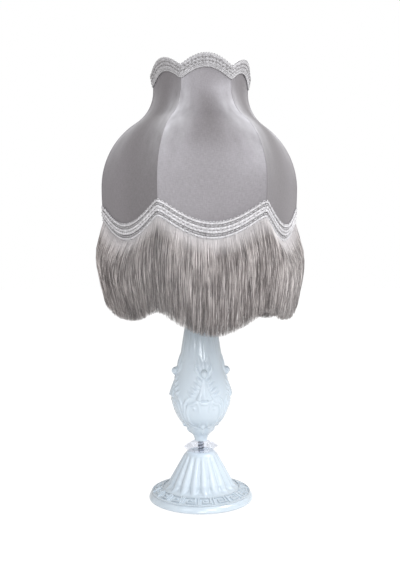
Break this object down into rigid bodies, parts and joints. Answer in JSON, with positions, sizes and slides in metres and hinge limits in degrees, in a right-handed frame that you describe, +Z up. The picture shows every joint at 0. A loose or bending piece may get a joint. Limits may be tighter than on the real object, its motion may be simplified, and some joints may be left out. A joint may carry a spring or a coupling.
{
  "type": "candle lamp with fringed shade",
  "caption": "Candle lamp: white moulded candlestick with a clear knop, spring-fed candle tube, and a lift-off scalloped satin shade with braid and a long fringe.",
  "frame": {"origin": "on the table, at the middle of the felt pad under the foot", "axes": "+Z up along the tie rod; the front panel of the shade faces -Y; two ribs lie on the X axis"},
  "size_m": [0.2388, 0.2136, 0.4778],
  "materials": {
    "white_gloss": "high gloss moulded, opal white",
    "clear_knop": "clear, polished facets",
    "felt": "matt felt",
    "zinc_steel": "zinc plated",
    "bright_metal": "bright nickel plate",
    "wax": "smooth ivory wax",
    "wick_cotton": "braided cotton",
    "frame_paint": "white baked paint",
    "satin": "silver grey satin",
    "lining_cloth": "pale lining cloth",
    "braid": "woven gimp braid",
    "fringe_silk": "silky chainette fringe"
  },
  "bodies": {
    "stick": {"foot_pad": "felt", "foot": "white_gloss", "lower_nut": "zinc_steel", "lower_washer": "zinc_steel", "tie_rod": "zinc_steel", "knop": "clear_knop", "stem": "white_gloss", "socket_cup": "bright_metal", "upper_nut": "zinc_steel"},
    "insert": {"candle_tube": "bright_metal", "shade_gallery": "bright_metal", "feed_spring": "zinc_steel"},
    "candle_set": {"follower": "bright_metal", "candle": "wax", "wick": "wick_cotton"},
    "cap": {"tube_cap": "bright_metal"},
    "shade": {"shade_fitter": "frame_paint", "top_wire": "frame_paint", "hem_wire": "frame_paint", "rib_wire_1": "frame_paint", "rib_wire_2": "frame_paint", "rib_wire_3": "frame_paint", "rib_wire_4": "frame_paint", "rib_wire_5": "frame_paint", "rib_wire_6": "frame_paint", "panel_1": "satin", "panel_2": "satin", "panel_3": "satin", "panel_4": "satin", "panel_5": "satin", "panel_6": "satin", "lining": "lining_cloth", "top_braid": "braid", "hem_braid": "braid", "fringe_1": "fringe_silk", "fringe_2": "fringe_silk", "fringe_3": "fringe_silk", "fringe_4": "fringe_silk", "fringe_5": "fringe_silk", "fringe_6": "fringe_silk"}
  },
  "joints": [
    {"name": "insert_lift", "type": "slide", "parent": "stick", "child": "insert", "axis": [0, 0, 1], "range_m": [0, 0.03]},
    {"name": "shade_lift", "type": "slide", "parent": "insert", "child": "shade", "axis": [0, 0, 1], "range_m": [0, 0.2]},
    {"name": "candle_push", "type": "slide", "parent": "insert", "child": "candle_set", "axis": [0, 0, 1], "range_m": [-0.015, 0], "stiffness_N_per_m": 30, "springref_m": 0.08, "deforming": ["feed_spring"]},
    {"name": "cap_lift", "type": "slide", "parent": "insert", "child": "cap", "axis": [0, 0, 1], "range_m": [0, 0.025]}
  ]
}
